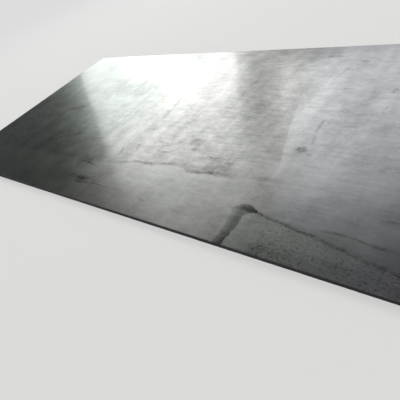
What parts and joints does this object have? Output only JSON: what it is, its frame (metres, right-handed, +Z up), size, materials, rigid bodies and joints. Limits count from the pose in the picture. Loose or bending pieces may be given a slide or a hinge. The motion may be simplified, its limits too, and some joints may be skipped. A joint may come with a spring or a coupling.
{
  "type": "steel plate",
  "caption": "Flat rectangular hot-rolled steel plate with smooth dark mill-scale faces and sheared edges, lying flat: heavy stock to be cut, drilled, bent or welded.",
  "frame": {"origin": "middle of the underside, on the floor the plate lies on", "axes": "+X along the length, which is the rolling direction; +Y across the width; +Z up through the thickness"},
  "size_m": [6, 2, 0.025],
  "materials": {
    "mill_scale_steel": "smooth dark grey mill scale with an oily satin sheen, dried tide lines, smears and wipe marks and a dry pitted strip along one long side; the sheared sides are dull and darker"
  },
  "bodies": {
    "root": {"plate": "mill_scale_steel"}
  },
  "joints": []
}
